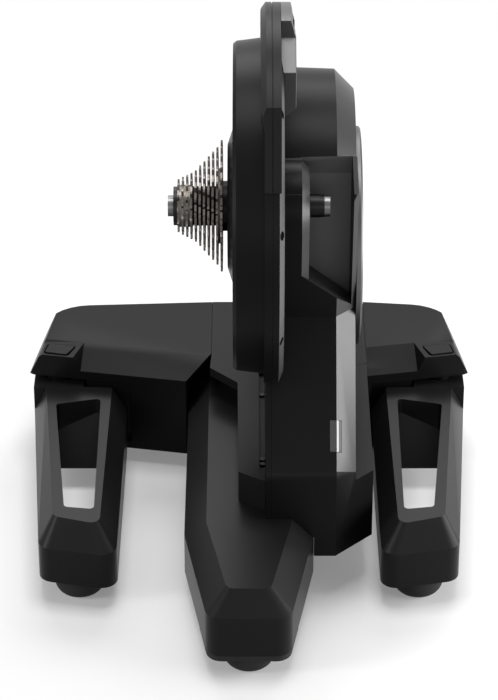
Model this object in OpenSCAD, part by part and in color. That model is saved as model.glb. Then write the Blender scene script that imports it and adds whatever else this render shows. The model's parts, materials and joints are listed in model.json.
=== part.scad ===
// Direct drive bike trainer: a bike without its rear wheel sits on the hollow axle, and its chain turns
// the cogs, a belt and a flywheel. The origin is on the floor under the axle, the centre leg points to -Y,
// the cogs are on the -X side and the flywheel on the +X side. All sizes are in millimetres.

/* [Axle and hub] */
// Height of the axle above the floor
axle_h = 341.3; // [334:0.1:350]
// Width between the two dropout faces
hub_w = 142; // [142:1:148]
// Radius of the bore for the wheel axle
bore_r = 6.1; // [6:0.05:6.3]
// Radius of the hollow axle under the bearings
axle_r = 8.5; // [8.2:0.1:9]
// Radius of the end of the hollow axle inside each end cap
axle_end_r = 7.5; // [7.1:0.1:7.8]
// Radius of the left end cap
left_cap_r = 9.2; // [8.8:0.1:9.6]
// Radius of the right end cap
right_cap_r = 9.5; // [9:0.1:9.8]
// Length of each end cap
cap_len = 5; // [4:0.5:6]

/* [Cogs] */
// Distance from one cog to the next
cog_pitch = 3.78; // [3.6:0.02:3.9]
// Thickness of a cog
cog_t = 1.8; // [1.6:0.1:2]
// Radius of the freehub body that carries the cogs
freehub_r = 15.5; // [15:0.1:16]
// Radius of the lockring
lockring_r = 17; // [16:0.5:18]
// Radius of the black collar behind the cogs
collar_r = 22; // [21:0.5:23]

/* [Drive-side cover] */
// Outer radius of the round drive-side cover
cover_r = 144; // [142:1:147]
// How far the rim of the cover lies to the left of the centre plane
cover_left = 13.8; // [12:0.2:16]
// How far the raised middle of the cover lies to the left of the centre plane
cover_face = 18.7; // [17:0.1:19]
// Wall of the covers
wall = 3.2; // [2.8:0.1:3.6]
// Radius of the flange where the two housing halves meet
flange_r = 155; // [152:1:158]
// Position of the seam between the two housing halves
seam_x = 20; // [19:0.5:21]
// Number of screws round the flange
screw_count = 9; // [7:1:11]

/* [Handle] */
// Outer radius of the handle about the axle
handle_r = 177.5; // [175:0.5:180]
// Angle at which the handle starts, counted upward from straight ahead
handle_from = 55; // [52:1:58]
// Angle at which the handle ends
handle_to = 125; // [123:1:130]
// Thickness of the handle over the finger gap
handle_t = 5.5; // [5:0.5:7]
// Right side of the grip
grip_x = 40; // [38:0.5:42]

/* [Flywheel-side cover] */
// Right side of the housing
housing_x = 95; // [93:0.5:97]
// Width of the bevel round the right edge of the housing
bevel = 17.5; // [15:0.5:19]
// Radius of the drum
drum_r = 121; // [119:0.5:121.5]
// Position of the drum centre behind the axle
drum_y = 107; // [104:0.5:107.5]
// Drop from the axle to the drum centre
drum_drop = 50; // [47:0.5:53]
// Radius of the boss round the axle
boss_r = 40; // [38:0.5:41]
// Right side of the boss
boss_x = 52.6; // [51:0.2:54]
// Depth of the dropout recess behind the axle
recess_y = 45; // [43:1:48]

/* [Flywheel] */
// Radius of the flywheel
flywheel_r = 100; // [97:0.5:101]
// Thickness of the flywheel
flywheel_t = 5.5; // [5:0.5:7]
// Position of the flywheel shaft behind the axle
fly_y = 91; // [89:0.5:92]
// Drop from the axle to the flywheel shaft
fly_drop = 79; // [78:0.5:81]
// Radius of the flywheel shaft
shaft_r = 8; // [7.5:0.5:8.5]
// Radius of the big pulley
big_pulley_r = 97; // [94:0.5:98]
// Radius of the small pulley
small_pulley_r = 14; // [13:0.5:15]
// Radius of the idler pulley
idler_r = 12; // [11:0.5:13]
// Thickness of the belt
belt_t = 2.6; // [2.2:0.1:3]
// Width of the belt
belt_w = 10; // [9:0.5:11]

/* [Base] */
// Height of the flat top of the deck and crossbar
deck_h = 112; // [109:0.5:115]
// Height of the top of the legs
leg_top = 82; // [80:0.5:83]
// Height of the underside of the legs
leg_low = 22; // [20:0.5:24]
// Thickness of the pan under the crossbar
pan_t = 7; // [6:0.5:8]
// Distance from the axle to the front end of the centre leg
front_reach = 228.5; // [224:0.5:234]
// Distance from the axle to the rear edge of the crossbar
rear_reach = 228.5; // [224:0.5:234]
// Half width of the crossbar
bar_half = 214; // [212:0.5:217]
// Half width of the centre leg
leg_half = 58; // [56:0.5:58.5]
// Height of the front lip of each wing
lip_h = 97.5; // [96:0.5:99]
// Angle at which the wings sweep back
sweep = 10.5; // [9.5:0.25:11.5]

/* [Side legs] */
// Distance from the centre plane to each hinge pin
pin_x = 182; // [180:0.5:184]
// Position of the hinge pins behind the axle
pin_y = 139; // [138:0.5:141]
// Radius of the hinge pins
pin_r = 8; // [7:0.5:9]
// Radius of the leg's barrel round the pin
barrel_r = 24; // [22:0.5:25]
// Distance from the axle to the front end of a side leg
side_reach = 131; // [126:0.5:136]
// Travel of each release button
button_travel = 4; // [3:0.5:4.5]
// Radius of the rubber feet
foot_r = 23; // [21:0.5:25]
// Height of the rounded part of each rubber foot
foot_dome = 12; // [10:0.5:14]

/* [Hidden] */
$fn = 64;
run_gap = 0.05;
fit_gap = 0.2;
soft_gap = 0.3;
fly_z = axle_h - fly_drop;
drum_z = axle_h - drum_drop;
pan_low = leg_low - pan_t;
big = 600;
black = [0.16, 0.16, 0.17];
dark = [0.1, 0.1, 0.11];
steel = [0.62, 0.6, 0.58];

function unit(v) = v / norm(v);

// Points of one rounded corner at b, between its neighbours a and c
function corner(a, b, c, r, n) =
    let (
        u = unit(a - b),
        w = unit(c - b),
        half = acos(u * w) / 2,
        centre = b + unit(u + w) * (r / sin(half)),
        from = b + u * (r / tan(half)) - centre,
        to = b + w * (r / tan(half)) - centre,
        start = atan2(from.y, from.x),
        raw = atan2(to.y, to.x) - start,
        turn = raw > 180 ? raw - 360 : raw < -180 ? raw + 360 : raw
    )
    [for (i = [0 : n]) centre + r * [cos(start + turn * i / n), sin(start + turn * i / n)]];

// A polygon's points from rows of x, y and corner radius
function rounded(rows, n = 6) = [
    for (i = [0 : len(rows) - 1])
        let (
            m = len(rows),
            a = rows[(i + m - 1) % m],
            b = rows[i],
            c = rows[(i + 1) % m]
        )
        each b[2] == 0
            ? [[b[0], b[1]]]
            : corner([a[0], a[1]], [b[0], b[1]], [c[0], c[1]], b[2], n)
];

// A point in the side plane at radius r about the axle, its angle counted upward from straight ahead
function ahead(r, a) = [-r * cos(a), axle_h + r * sin(a)];

// Pulls a side-view outline of [y, z] points along X
module along_x(x0, x1) translate([x0, 0, 0]) rotate([90, 0, 90]) linear_extrude(x1 - x0) children();

// A cylinder along X about a point of the side plane
module disc(x0, x1, r, y = 0, z = axle_h) translate([x0, y, z]) rotate([0, 90, 0]) cylinder(h = x1 - x0, r = r);

// A cone along X
module cone(x0, x1, r0, r1, y = 0, z = axle_h)
    translate([x0, y, z]) rotate([0, 90, 0]) cylinder(h = x1 - x0, r1 = r0, r2 = r1);

module ring(x0, x1, r_out, r_in, y = 0, z = axle_h) difference() {
    disc(x0, x1, r_out, y, z);
    disc(x0 - 1, x1 + 1, r_in, y, z);
}

// Base: crossbar, wings, deck and centre leg
lip_y = 91.1;
bevel_run = 29;
seam_left = 36;
right_end_x = 112;
slope = tan(sweep);
function front_y(x) = lip_y + abs(x) * slope;

// Side outline of a wing, measured back from its lip, with the walls moved in by w
function wing_section(w, low) = [
    [w, low], [w, lip_h - w], [bevel_run, deck_h - w], [big, deck_h - w], [big, low]
];

// Outer rear corner of a wing, and how far its front edge stands behind the swept line
corner_in = 24.5;
corner_back = 8;
corner_r = 45;
end_r = 9;
front_set = 0.2;

// Plan of the left wing with its inner end at x = -inner, the front end of which is cut back by cut
function wing_plan(w, inner, cut) = concat([
    [-inner, rear_reach - w, 0],
    [-bar_half + corner_in + w, rear_reach - corner_back - w, corner_r - w],
    [-bar_half + w, front_y(bar_half) + front_set + w, end_r - w]
], cut == 0 ? [[-inner, front_y(inner) + front_set + w, 0]] : [
    [-inner - cut, front_y(inner + cut) + front_set + w, 0],
    [-inner, front_y(inner) + cut * 1.3, 0]
]);

// Removes the slope at the outer end of the left wing, moved in by w
end_in = 5;
end_turn = [-7.45, -64.8, 0];
module end_slope(w) translate([-bar_half + end_in, front_y(bar_half) + 3.4, deck_h - 21]) rotate(end_turn)
    translate([-big, -big, -w]) cube(2 * big);

module wing_block(w, low, inner, cut) difference() {
    intersection() {
        translate([0, lip_y, 0]) rotate([0, 0, -sweep]) along_x(-big, 100) polygon(wing_section(w, low));
        linear_extrude(deck_h + 10) polygon(rounded(wing_plan(w, inner, cut)));
    }
    end_slope(w);
}

// Heights of the hinge: two ears, the leg's barrel between them and the pin through all three
ear_t = 4;
ear_r = pin_r + 3;
barrel_top = leg_top;
barrel_low = leg_low + ear_t + 0.6;
pin_top = barrel_top + 0.5 + ear_t;

// Raised block at the outer corner of the left wing, round the release button, with a front flush with the lip
block_back = pin_y + 13;
block_low = lip_h - 2;
module button_block() intersection() {
    hull() {
        translate([0, 0, block_low]) linear_extrude(0.5) polygon([
            [-bar_half, block_back], [-pin_x + 31, block_back], [-pin_x + 19.5, pin_y - 25], [-bar_half, pin_y - 20]
        ]);
        translate([0, 0, block_low]) linear_extrude(deck_h - block_low) polygon([
            [-pin_x - 13, block_back], [-pin_x + 24, block_back], [-pin_x + 11, pin_y - 25], [-pin_x - 17, pin_y - 20]
        ]);
    }
    linear_extrude(deck_h + 10) polygon(rounded(wing_plan(0, 0, 0)));
}

button_low = deck_h - 10;
button_top = deck_h + 1;
spring_low = button_low - 8;
stem_low = pin_top + button_travel + 1.5;
module button_plan(g) polygon(rounded([
    [-13.5 - g, -7.3 - g, 2.5 + g],
    [7.8 + g, -12.3 - g, 2.5 + g],
    [15.8 + g, 4.5 + g, 2.5 + g],
    [-9.8 - g, 7.8 + g, 2.5 + g]
], 4));

// Room round the hinge of the left leg, under the wing
module hinge_room(low, high, g = 0) translate([0, 0, low]) linear_extrude(high - low) union() {
    translate([-pin_x, pin_y]) circle(barrel_r + 2 + g);
    polygon([
        [-bar_half - 20, 60], [-pin_x + 69 + g, 60], [-pin_x + 69 + g, pin_y - 18 + g],
        [-pin_x + barrel_r + 3 + g, pin_y - 18 + g], [-pin_x + barrel_r + g, pin_y],
        [-pin_x, pin_y + barrel_r + 2 + g], [-bar_half - 20, pin_y + barrel_r + 2 + g]
    ]);
}

rib_x = 124;
button_room = 1.3;
module wing(inner, cut) difference() {
    union() {
        difference() {
            wing_block(0, leg_low, inner, cut);
            difference() {
                wing_block(4, 0, inner - 10, cut);
                hinge_room(0, pin_top + 5, 3);
            }
        }
        intersection() {
            wing_block(1, leg_low, inner, cut);
            translate([-rib_x, 0, 0]) cube([4, big, big]);
        }
        difference() {
            button_block();
            end_slope(0);
        }
    }
    hinge_room(leg_low - 1, pin_top + 2);
    bracket_room();
    beam_room();
    translate([-leg_half - 0.3, 0, 0]) cube([big, leg_back, leg_top + 0.5]);
    translate([-pin_x, pin_y, spring_low]) linear_extrude(big) button_plan(button_room);
    translate([-pin_x, pin_y, 0]) cylinder(h = deck_h, r = 3.2);
}

beam_y = pin_y + barrel_r + 9;
beam_back = 22.5;
beam_d = rear_reach - beam_back - beam_y;
beam_low = 34;
beam_high = 74;
beam_half = 172;
module beam_room() translate([-beam_half - 1, beam_y - 1, leg_low - 1])
    cube([big, beam_d + 2, beam_high - leg_low + 2]);
module bracket_room() translate([-pin_x - ear_r - 1, pin_y, leg_low - 1])
    cube([ear_r + 34, barrel_r + 10, pin_top - leg_low + 2]);

// Front wall of the right wing, which runs on under the deck to the centre leg
module inner_wall() intersection() {
    difference() {
        wing_block(0, leg_low, 0, 0);
        wing_block(4, 0, -20, 0);
    }
    translate([-right_end_x - 5, 0, 0]) cube([right_end_x + 5 - leg_half - 0.3, pin_y, deck_h - deck_under - 0.3]);
}
module left_wing_cover() color(black) wing(seam_left, 24);
module right_wing_cover() color(black) mirror([1, 0, 0]) {
    wing(right_end_x, 0);
    inner_wall();
}

// Pan under the crossbar
pan_set = 2;
pan_in = 10;
module crossbar_pan() color(dark) difference() {
    translate([0, 0, pan_low]) linear_extrude(pan_t) polygon(rounded([
        [-bar_half + corner_in + pan_set, rear_reach - corner_back - pan_set, corner_r - pan_set],
        [-bar_half + pan_in, front_y(bar_half), 6],
        [-leg_half - 3, front_y(leg_half) + pan_set, 0],
        [leg_half + 3, front_y(leg_half) + pan_set, 0],
        [bar_half - pan_in, front_y(bar_half), 6],
        [bar_half - corner_in - pan_set, rear_reach - corner_back - pan_set, corner_r - pan_set]
    ]));
    for (x = [-rear_foot_x, rear_foot_x]) translate([x, rear_foot_y, 0]) cylinder(h = leg_low + 1, r = 3);
    for (x = screw_xs) translate([x, beam_y + beam_d / 2, 0]) cylinder(h = leg_low + 1, r = 2.6);
}

screw_xs = [-120, -70, 70, 120];
module cross_beam() color(steel) difference() {
    translate([-beam_half, beam_y, leg_low]) cube([2 * beam_half, beam_d, beam_high - leg_low]);
    translate([-beam_half - 1, beam_y + 3, leg_low + 3]) cube([2 * beam_half + 2, beam_d - 6, beam_high - leg_low - 6]);
    for (x = screw_xs) translate([x, beam_y + beam_d / 2, 0]) cylinder(h = leg_low + 5, r = 2);
}

// Steel bracket that holds the left hinge pin between two ears
module hinge_bracket() difference() {
    union() {
        for (z = [leg_low, pin_top - ear_t]) translate([0, 0, z]) linear_extrude(ear_t) union() {
            translate([-pin_x, pin_y]) circle(ear_r);
            translate([-pin_x - ear_r, pin_y]) square([2 * ear_r, barrel_r + 3]);
        }
        translate([-pin_x - ear_r, pin_y + barrel_r + 3, leg_low]) cube([ear_r + 32, 6, pin_top - leg_low]);
    }
    translate([-pin_x, pin_y, 0]) cylinder(h = big, r = pin_r);
}
module hinge_brackets() color(steel) for (s = [0, 1]) mirror([s, 0, 0]) hinge_bracket();
module hinge_pins() color(steel) for (s = [-1, 1]) translate([s * pin_x, pin_y, leg_low])
    cylinder(h = pin_top - leg_low, r = pin_r);

// Deck between the wings, with a strip that runs forward beside the housing
strip_left = 9.5;
strip_right = 9.3;
deck_front = -91;
deck_under = 9;
join_y = 98;
deck_screw_ys = [-58, -50, 60];
deck_skin = 4;
ledge_h = deck_h - deck_skin;
ledge_end = seam_x - 5.3;
deck_screw_x = (strip_right + ledge_end) / 2;
tongue = 4;
module deck_cover() color(black) difference() {
    union() {
        translate([0, 0, deck_h - deck_under]) linear_extrude(deck_under) polygon([
            [-seam_left + 0.3, rear_reach], [-seam_left + 0.3, 128], [-37, 104], [-10.7, 77],
            [-strip_left, deck_front + 16], [ledge_end, deck_front], [strip_right, deck_front + 21],
            [strip_right, join_y], [seam_x, join_y], [leg_half, front_y(leg_half)],
            [right_end_x - 0.3, front_y(right_end_x)], [right_end_x - 0.3, rear_reach]
        ]);
        translate([0, 0, leg_top]) linear_extrude(deck_h - leg_top) polygon([
            [-strip_left, 70], [-strip_left, deck_front + 16], [ledge_end, deck_front],
            [strip_right, deck_front + 21], [strip_right, 70]
        ]);
        // ledge beside the housing, which carries the deck screws
        translate([0, 0, leg_top]) linear_extrude(ledge_h - leg_top) polygon([
            [strip_right - 1, deck_front + 21], [ledge_end - 0.1, deck_front], [ledge_end, deck_front + 1],
            [ledge_end, join_y - 0.5], [strip_right - 1, join_y - 0.5]
        ]);
        translate([-seam_left + 0.3, rear_reach - deck_skin, leg_low])
            cube([seam_left + right_end_x - 0.6, deck_skin, deck_h - leg_low]);
        // tongue under the seam with the left wing
        translate([0, 0, deck_h - deck_under]) linear_extrude(deck_under - deck_skin - 0.3) polygon([
            [-seam_left - tongue, 134], [-seam_left + tongue, 134],
            [-seam_left + tongue, rear_reach - 1], [-seam_left + 0.3, rear_reach - 1],
            [-seam_left + 0.3, rear_reach - deck_skin - 1], [-seam_left - tongue, rear_reach - deck_skin - 1]
        ]);
        translate([0, 0, leg_low]) linear_extrude(deck_h - deck_under + 1 - leg_low) polygon([
            [-seam_left - tongue, rear_reach - deck_skin - 4], [-seam_left + tongue, rear_reach - deck_skin - 4],
            [-seam_left + tongue, rear_reach - 1], [-seam_left + 0.3, rear_reach - 1],
            [-seam_left + 0.3, rear_reach - deck_skin - 1], [-seam_left - tongue, rear_reach - deck_skin - 1]
        ]);
    }
    for (y = deck_screw_ys) translate([deck_screw_x, y, leg_top]) cylinder(h = 40, r = 1.6);
}

// Centre leg: flanks, a bevelled top and a tapered front end
leg_edge = leg_top - 20;
leg_back = beam_y;
leg_wall = 8;
pocket_ys = [-60, -14, 32];
pocket_len = 40;
pocket_rib = 8;
pocket_h = 32;
module centre_leg() color(black) difference() {
    hull() {
        translate([0, 0, leg_low]) linear_extrude(leg_edge - leg_low) polygon(rounded([
            [-leg_half, leg_back, 0], [-leg_half, -102, 0], [-36, -front_reach, 15],
            [36, -front_reach, 15], [leg_half, -102, 0], [leg_half, leg_back, 0]
        ]));
        translate([0, 0, leg_low]) linear_extrude(leg_top - leg_low) polygon(rounded([
            [-leg_half + 20, leg_back, 0], [-leg_half + 20, -111, 0], [-19, -front_reach + 17, 8],
            [19, -front_reach + 17, 8], [leg_half - 20, -111, 0], [leg_half - 20, leg_back, 0]
        ]));
    }
    translate([0, front_foot_y, 0]) cylinder(h = leg_low + 12, r = 3);
    for (s = [0, 1]) mirror([s, 0, 0]) for (y = pocket_ys) translate([pocket_rib / 2, y, leg_low - 1])
        cube([leg_half - leg_wall - pocket_rib / 2, pocket_len, pocket_h]);
    for (x = frame_bolt_xs) for (y = frame_bolt_ys) translate([x, y, 0]) cylinder(h = leg_top + 1, r = 4.1);
}

// Rubber feet
front_foot_y = -front_reach + 24;
rear_foot_x = 150;
rear_foot_y = rear_reach - 40;
side_foot_x = 153;
side_foot_y = -side_reach + 36;

// A foot: a flat-bottomed rubber dome under a plate, with a peg into the hole above
module foot(top, r = foot_r) difference() {
    union() {
        rotate_extrude() polygon(concat(
            [[0, 0]],
            [for (i = [0 : 8]) [r - 9 + 9 * sin(i * 90 / 8), foot_dome * (1 - cos(i * 90 / 8))]],
            [[r, top], [0, top]]
        ));
        cylinder(h = top + 6, r = 3);
    }
}
foot_pad = 6;
pad_set = 0.8;
module front_foot() color(dark) {
    translate([0, front_foot_y, 0]) foot(leg_low - foot_pad);
    translate([0, 0, leg_low - foot_pad]) linear_extrude(foot_pad) difference() {
        polygon(rounded([
            [-43.4, -180, 0], [-36 + pad_set, -front_reach + pad_set, 14], [36 - pad_set, -front_reach + pad_set, 14],
            [43.4, -180, 0]
        ]));
        translate([0, front_foot_y]) circle(r = 3);
    }
}
module rear_feet() color(dark) for (x = [-rear_foot_x, rear_foot_x]) translate([x, rear_foot_y, 0]) foot(pan_low);
module side_foot() translate([-side_foot_x, side_foot_y, 0]) foot(leg_low);

// Side legs: drawn for the left side and mirrored
leg_root_y = pin_y - 21;
leg_in = pin_x - 65;
leg_out = pin_x + barrel_r;
window_front = -side_reach + 45;
window_rear = leg_root_y - 21;
module side_leg() difference() {
    union() {
        hull() {
            translate([0, 0, leg_low]) linear_extrude(leg_edge - 4 - leg_low) polygon(rounded([
                [-leg_out, leg_root_y, 0], [-leg_out + 18, -side_reach + 15, 14], [-leg_in - 1, -side_reach, 14],
                [-leg_in, leg_root_y, 0]
            ]));
            translate([0, 0, leg_low]) linear_extrude(leg_top - leg_low) polygon(rounded([
                [-leg_out + 12, leg_root_y, 0], [-leg_out + 31, -side_reach + 30, 8],
                [-leg_in - 16, -side_reach + 17, 8], [-leg_in - 14, leg_root_y, 0]
            ]));
        }
        translate([-pin_x, pin_y, barrel_low]) cylinder(h = barrel_top - barrel_low, r = barrel_r);
        translate([0, 0, barrel_low]) linear_extrude(barrel_top - barrel_low) polygon([
            [-leg_out, pin_y], [-leg_out, leg_root_y - 1], [-leg_out + 12, leg_root_y - 1],
            [-pin_x + barrel_r, leg_root_y - 1], [-pin_x + barrel_r, pin_y]
        ]);
    }
    translate([-pin_x, pin_y, 0]) cylinder(h = big, r = pin_r + 3);
    translate([-big, leg_root_y - 22, 0]) cube([big, big, barrel_low]);
    // the window, whose rear wall slopes forward on its way down
    intersection() {
        linear_extrude(big) polygon(rounded([
            [-pin_x - 1, window_rear - 10, 4], [-pin_x + 16, window_front, 4], [-pin_x + 43, window_front - 4, 4],
            [-pin_x + 41, window_rear, 4]
        ]));
        along_x(-big, 0) polygon([
            [window_front - 20, 0], [window_front - 20, leg_top + 5], [window_rear + 12, leg_top + 5],
            [window_rear - 44, 0]
        ]);
    }
    translate([-side_foot_x, side_foot_y, 0]) cylinder(h = leg_low + 9, r = 3);
}
module left_leg() color(black) side_leg();
module right_leg() color(black) mirror([1, 0, 0]) side_leg();
module left_leg_foot() color(dark) side_foot();
module right_leg_foot() color(dark) mirror([1, 0, 0]) side_foot();
module leg_bush() translate([-pin_x, pin_y, barrel_low]) difference() {
    cylinder(h = barrel_top - barrel_low, r = pin_r + 3);
    translate([0, 0, -1]) cylinder(h = big, r = pin_r + run_gap);
}
module left_leg_bush() color("goldenrod") leg_bush();
module right_leg_bush() color("goldenrod") mirror([1, 0, 0]) leg_bush();

// Release buttons and their springs
module button() translate([-pin_x, pin_y, 0]) {
    translate([0, 0, button_low]) linear_extrude(button_top - button_low) button_plan(0);
    translate([0, 0, stem_low]) cylinder(h = button_low - stem_low + 0.5, r = 2.8);
}
module left_button() color(black) button();
module right_button() color(black) mirror([1, 0, 0]) button();

spring_r = 5.4;
wire_r = 0.6;
spring_turns = 4;
ring_steps = 8;
wire_sides = 6;
spring_rise = (button_low - spring_low - 2 * wire_r - 0.2) / (spring_turns * ring_steps);
module coil_spring() {
    rings = spring_turns * ring_steps;
    points = [
        for (i = [0 : rings]) for (j = [0 : wire_sides - 1])
            let (a = i * 360 / ring_steps, b = j * 360 / wire_sides, r = spring_r + wire_r * cos(b))
            [r * cos(a), r * sin(a), wire_r + 0.1 + i * spring_rise + wire_r * sin(b)]
    ];
    sides = [
        for (i = [0 : rings - 1]) for (j = [0 : wire_sides - 1])
            let (k = (j + 1) % wire_sides, p = i * wire_sides, q = p + wire_sides)
            each [[p + j, q + j, q + k], [p + j, q + k, p + k]]
    ];
    last = rings * wire_sides;
    ends = [
        for (j = [1 : wire_sides - 2]) each [[0, j, j + 1], [last, last + j + 1, last + j]]
    ];
    polyhedron(points, concat(sides, ends));
}
module button_spring() translate([-pin_x, pin_y, spring_low]) coil_spring();
module left_button_spring() color(steel) button_spring();
module right_button_spring() color(steel) mirror([1, 0, 0]) button_spring();

// Housing: its side view is a sloping column, a bulk behind the boss, and a drum
front_y0 = -106;
crease_z = deck_h + 15;
crease_r = 14;
crease_steps = 4;
corner_y = -21;
corner_z = axle_h - 100;
rear_y = 198;
bulk_up = -11.3;
slope_up = 90 - atan2(corner_z - crease_z, corner_y - front_y0);
bevel_x = housing_x - bevel;
block_foot = 42;

// Removes a 45 degree bevel from the right edge of a face that looks `up` degrees above straight ahead
module bevel_cut(y, z, up, x) translate([x, y, z]) rotate([-up, 0, 0]) rotate([0, 0, -45])
    translate([0, -big, -big]) cube(2 * big);

crease = corner([front_y0, deck_h - 20], [front_y0, crease_z], [corner_y, corner_z], crease_r, crease_steps);
function column_side(low, join) = concat([[front_y0, low]], crease, [
    [corner_y, corner_z], [rear_y, corner_z], [rear_y, deck_h], [join, deck_h], [join, low]
]);
boss_low = ahead(boss_r, bulk_up);
bulk_side = [
    [corner_y, corner_z], boss_low, [-boss_r * 0.75, axle_h + 27], [25, axle_h + 36], [drum_y, drum_z],
    [drum_y, corner_z]
];

module column_block() difference() {
    along_x(seam_x, housing_x) polygon(column_side(deck_h - 20, join_y - 0.3));
    bevel_cut(front_y0, crease_z, slope_up, bevel_x);
    bevel_cut(front_y0, crease_z, 0, bevel_x);
    for (i = [0 : crease_steps - 1])
        bevel_cut(crease[i].x, crease[i].y, slope_up * (i + 0.5) / crease_steps, bevel_x);
}

module bulk_block() difference() {
    along_x(seam_x, housing_x) polygon(bulk_side);
    bevel_cut(corner_y, corner_z, bulk_up, bevel_x);
}

boss_bevel = 6.6;
module boss_block() {
    difference() {
        along_x(seam_x, boss_x) polygon([
            [corner_y, corner_z], boss_low, [0, axle_h], [recess_y + 1, axle_h], [recess_y + 1, corner_z]
        ]);
        bevel_cut(corner_y, corner_z, bulk_up, boss_x - boss_bevel);
    }
    disc(seam_x, boss_x - boss_bevel, boss_r);
    cone(boss_x - boss_bevel, boss_x, boss_r, boss_r - boss_bevel);
    along_x(seam_x, boss_x) polygon([
        [0, axle_h], [0, axle_h + boss_r - boss_bevel], [recess_y + 1, axle_h + 14], [recess_y + 1, axle_h]
    ]);
}

// The recess that the bike's right dropout slides into, grown by g for the wall behind it
guard_t = 4;
floor_turn = [-14.9, 37, 0];
floor_drop = 52.5;
module recess(g) intersection() {
    along_x(boss_x - boss_bevel - g, housing_x - guard_t + g) polygon([
        [-big, 200], [-big, axle_h + 36 + g], [25 + g / 2, axle_h + 36 + g], [recess_y + g, axle_h + 9 + g],
        [recess_y + g, 200]
    ]);
    translate([boss_x - boss_bevel, -33, axle_h - floor_drop]) rotate(floor_turn) translate([-big, -big, -g])
        cube(2 * big);
}

module lower_block() difference() {
    translate([0, 0, block_foot]) linear_extrude(deck_h - block_foot) polygon([
        [seam_x, front_y0], [bevel_x, front_y0], [right_end_x - 0.5, front_y0 + right_end_x - 0.5 - bevel_x],
        [right_end_x - 0.5, front_y(right_end_x) - 0.5], [leg_half, front_y(leg_half) - 0.5], [seam_x, join_y - 0.3]
    ]);
    saddle();
}

// Room for the centre leg under the housing
module saddle() translate([0, big, 0]) rotate([90, 0, 0]) linear_extrude(2 * big) polygon([
    [-leg_half, 0], [leg_half + fit_gap, 0], [leg_half + fit_gap, leg_edge],
    [leg_half - 20 + fit_gap, leg_top], [-leg_half, leg_top]
]);

flange_x = seam_x + 5.5;
flange_end = seam_x + 9.6;
module flange_solid(x0) {
    disc(x0, flange_x, flange_r);
    cone(flange_x, flange_end, flange_r, flange_r - 10);
}

// Handle: an arch on the rim of the flange, whose two ends run tangent to the rim
handle_left = seam_x - 10;
handle_right = seam_x + 7;
handle_bevel = 4.2;
handle_top = axle_h + handle_r;
tangent = acos(flange_r / handle_r);
blunt = 6;
groove_w = 0.8;
groove_d = 1.2;

// Side outline of the handle with its outer side moved in by g
function handle_side(g) = [
    [0, axle_h],
    ahead((flange_r - g) / cos(blunt), handle_from - tangent + blunt), ahead(handle_r - g, handle_from),
    ahead(handle_r * 1.3, handle_from), ahead(handle_r * 1.6, 90), ahead(handle_r * 1.3, handle_to),
    ahead(handle_r - g, handle_to), ahead((flange_r - g) / cos(blunt), handle_to + tangent - blunt)
];
module handle_slab(x0, x1, g) intersection() {
    along_x(x0, x1) polygon(handle_side(g));
    disc(x0, x1, handle_r - g);
}

// The finger gap under the handle
grip_ahead = 1;
grip_wall = 4.5;
gap_from = 90 + asin((grip_wall - grip_ahead) / flange_r);
gap_to = handle_to - 5;
module finger_hole() intersection() {
    ring(-big / 2, big / 2, handle_r - handle_t, flange_r - 0.5);
    along_x(-big / 2 + 1, big / 2 - 1)
        polygon([[0, axle_h], ahead(big, gap_from), ahead(big, (gap_from + gap_to) / 2), ahead(big, gap_to)]);
}

// The front end of the handle narrows towards the flange on its left
narrow_run = 14;
module handle_taper() intersection() {
    translate([handle_left, 0, axle_h]) rotate([90 - handle_from, 0, 0])
        rotate([0, 0, atan((flange_left - handle_left) / narrow_run)]) translate([-big, -big, 0]) cube(big);
    translate([-big + flange_left, -big, 0]) cube([big, big, big]);
}
module handle_arch() color(black) difference() {
    union() {
        handle_slab(handle_left, seam_x - groove_w, 0);
        handle_slab(seam_x - groove_w, seam_x, groove_d);
        handle_slab(seam_x, handle_right, 0);
    }
    finger_hole();
    difference() {
        disc(handle_left - 1, handle_left + handle_bevel, handle_r + 1);
        cone(handle_left - 1, handle_left + handle_bevel, handle_r - 7.1, handle_r);
    }
    handle_taper();
    disc(0, big, flange_r + 0.1);
}

// Screw places round the flange
screw_circle = 150;
screw_start = 18.6;
screw_head_x = seam_x + 4.2;
module at_screws() for (i = [0 : screw_count - 1])
    let (p = ahead(screw_circle, screw_start + i * 360 / screw_count)) translate([0, p.x, p.y]) children();
module screw_holes(x0, x1, r) at_screws() disc(x0, x1, r, 0, 0);
module housing_screws() color(dark) at_screws() difference() {
    union() {
        disc(seam_x - 5.5, screw_head_x, 2, 0, 0);
        disc(screw_head_x, screw_head_x + 2.6, 3.6, 0, 0);
    }
    translate([screw_head_x + 1.2, 0, 0]) rotate([0, 90, 0]) cylinder(h = 3, r = 1.8, $fn = 6);
}

// Drive-side cover with the left half of the flange, the handle and a skirt down to the leg
skirt_x = seam_x - 5;
flange_left = seam_x - 7;
hub_hole_r = collar_r + 1;
cover_draft = 3;
module drive_side_cover() color(black) difference() {
    union() {
        cone(-cover_left, -cover_left + 3, cover_r - 2.5, cover_r);
        cone(-cover_left + 3, flange_left, cover_r, cover_r + cover_draft);
        cone(-cover_face, -cover_left, 54, 69);
        disc(flange_left, seam_x - 0.2, flange_r);
        along_x(skirt_x, seam_x - 0.2) polygon(column_side(leg_top, join_y));
    }
    disc(-cover_left + wall, big, cover_r - wall);
    disc(-cover_face + wall, 0, 52);
    disc(-big, 0, hub_hole_r);
    screw_holes(0, big, 2.2);
}

// Flywheel-side housing: column, bulk, drum and boss on the seam plate
web_t = 4;
cave_x = seam_x + web_t;
light_x0 = 71.5;
light_x1 = 82;
light_len = 28;
module light_slab(g) translate([0, front_y0, crease_z]) rotate([-slope_up, 0, 0])
    translate([light_x0 - g, -20, 22 - g]) cube([light_x1 - light_x0 + 2 * g, 60, light_len + 2 * g]);
module light_shape(out) translate([out, -out, 0]) column_block();

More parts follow.
